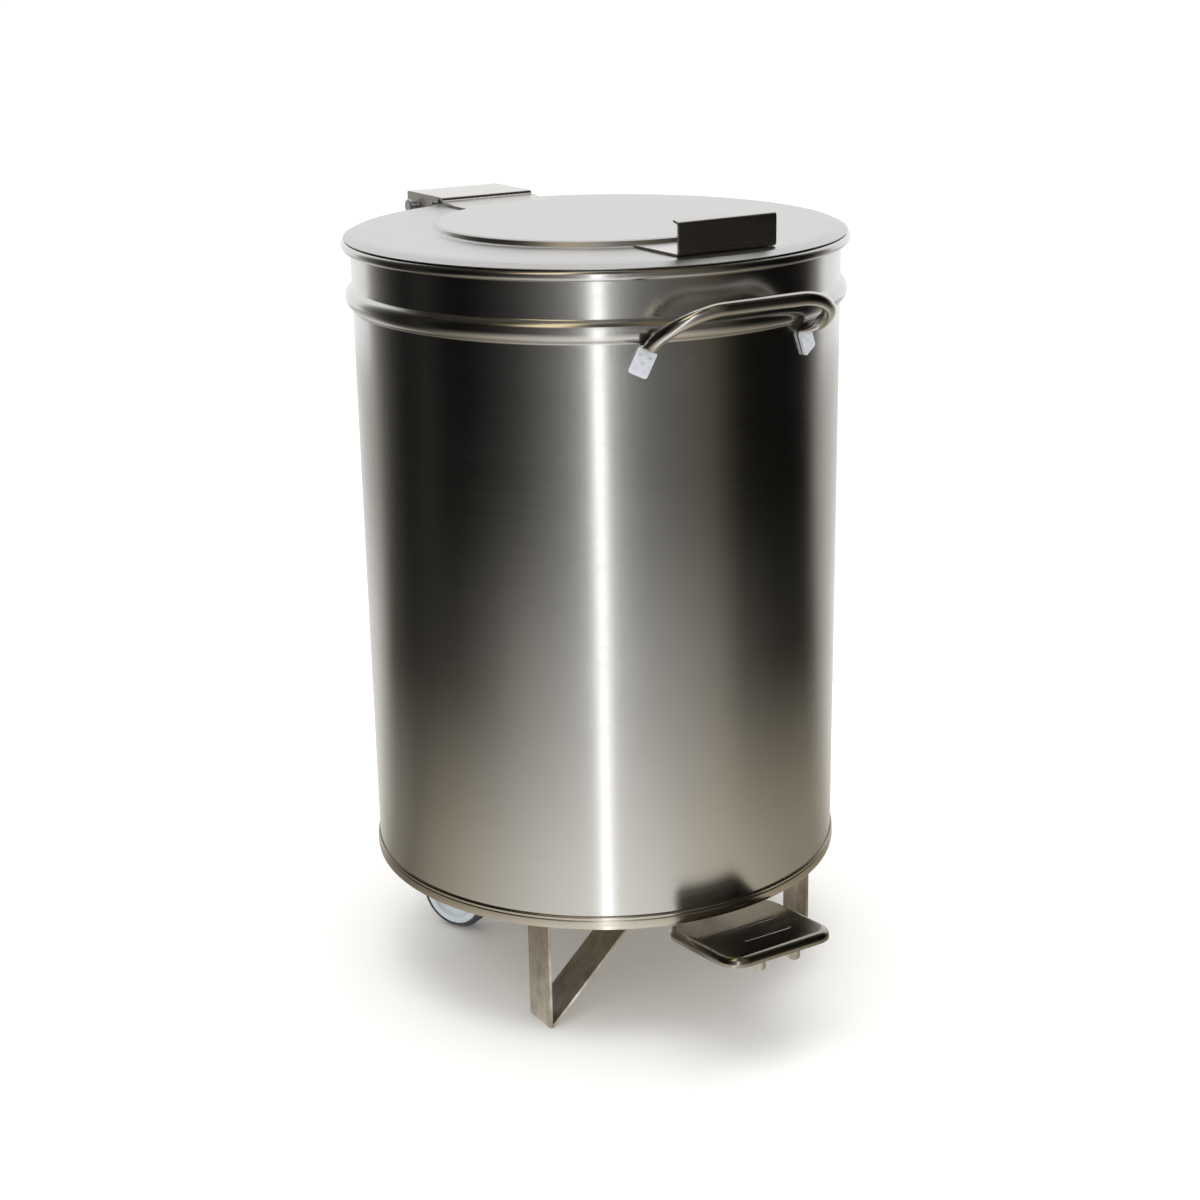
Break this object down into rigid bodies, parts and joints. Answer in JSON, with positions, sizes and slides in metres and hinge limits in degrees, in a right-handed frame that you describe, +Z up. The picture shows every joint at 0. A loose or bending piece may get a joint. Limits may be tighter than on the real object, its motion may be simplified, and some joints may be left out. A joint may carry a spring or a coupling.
{
  "type": "pedal bin",
  "caption": "Round stainless-steel pedal bin with a hinged flat lid, front tube handle, foot pedal, two folded front legs and two swivel castors at the rear.",
  "frame": {"origin": "on the drum's vertical axis at floor level, which is the bottom centre of the bounding box", "axes": "+Z up along the drum's axis; -Y to the front, where the pedal and the handle are; +Y to the lid hinge; +X to the right of the bin seen from the front"},
  "size_m": [0.4668, 0.5999, 0.75],
  "materials": {
    "drum_steel": "satin, vertical grain",
    "lid_steel": "satin",
    "lid_fitting_steel": "bright cold rolled",
    "handle_steel": "polished tube, pale spot-welded ends",
    "pedal_steel": "bright pressed",
    "leg_steel": "mill finish",
    "fitting_steel": "mill finish",
    "zinc_plate": "zinc plated",
    "hub_plastic": "moulded",
    "tyre_rubber": "grey-blue thermoplastic rubber"
  },
  "bodies": {
    "bin": {"drum_shell": "drum_steel", "base_pan": "drum_steel", "leg_left": "leg_steel", "leg_right": "leg_steel", "front_handle": "handle_steel", "hinge_bracket": "fitting_steel", "hinge_pin": "fitting_steel", "hinge_clip": "fitting_steel", "pedal_bracket": "fitting_steel", "pedal_pin": "fitting_steel", "pedal_clip": "fitting_steel", "castor_plate_left": "zinc_plate", "castor_plate_right": "zinc_plate", "castor_kingpin_left": "zinc_plate", "castor_kingpin_right": "zinc_plate"},
    "lid": {"lid_panel": "lid_steel", "lid_handle": "lid_fitting_steel", "hinge_strap": "lid_fitting_steel", "rod_lug": "fitting_steel", "rod_pin": "fitting_steel"},
    "push_rod": {"push_rod": "fitting_steel"},
    "pedal": {"pedal_plate": "pedal_steel", "pedal_arm_left": "leg_steel", "pedal_arm_right": "leg_steel", "pedal_sleeve": "fitting_steel", "push_plate": "fitting_steel"},
    "castor_left": {"castor_fork_left": "zinc_plate", "castor_axle_left": "zinc_plate", "castor_nut_left": "zinc_plate"},
    "castor_right": {"castor_fork_right": "zinc_plate", "castor_axle_right": "zinc_plate", "castor_nut_right": "zinc_plate"},
    "wheel_left": {"wheel_hub_left": "hub_plastic", "wheel_tyre_left": "tyre_rubber"},
    "wheel_right": {"wheel_hub_right": "hub_plastic", "wheel_tyre_right": "tyre_rubber"}
  },
  "joints": [
    {"name": "lid_hinge", "type": "hinge", "parent": "bin", "child": "lid", "pos_m": [0, 0.266, 0.714], "axis": [-1, 0, 0], "range_deg": [0, 76]},
    {"name": "push_rod_pivot", "type": "hinge", "parent": "lid", "child": "push_rod", "pos_m": [0, 0.25126, 0.70249], "axis": [-1, 0, 0], "range_deg": [-76.5, 0.5]},
    {"name": "pedal_pivot", "type": "hinge", "parent": "bin", "child": "pedal", "pos_m": [0, 0.06, 0.083], "axis": [1, 0, 0], "range_deg": [-0.1, 6.9]},
    {"name": "castor_left_swivel", "type": "hinge", "parent": "bin", "child": "castor_left", "pos_m": [-0.13, 0.125, 0.095], "axis": [0, 0, 1], "continuous": true},
    {"name": "castor_right_swivel", "type": "hinge", "parent": "bin", "child": "castor_right", "pos_m": [0.13, 0.125, 0.095], "axis": [0, 0, 1], "continuous": true},
    {"name": "wheel_left_spin", "type": "hinge", "parent": "castor_left", "child": "wheel_left", "pos_m": [-0.11848, 0.09948, 0.039], "axis": [0.9114, 0.4115, 0], "continuous": true},
    {"name": "wheel_right_spin", "type": "hinge", "parent": "castor_right", "child": "wheel_right", "pos_m": [0.11848, 0.09948, 0.039], "axis": [0.9114, -0.4115, 0], "continuous": true}
  ],
  "couplings": [
    {"joint": "push_rod_pivot", "follows": "lid_hinge", "ratio": -1},
    {"joint": "pedal_pivot", "follows": "lid_hinge", "ratio": 0.089474}
  ]
}
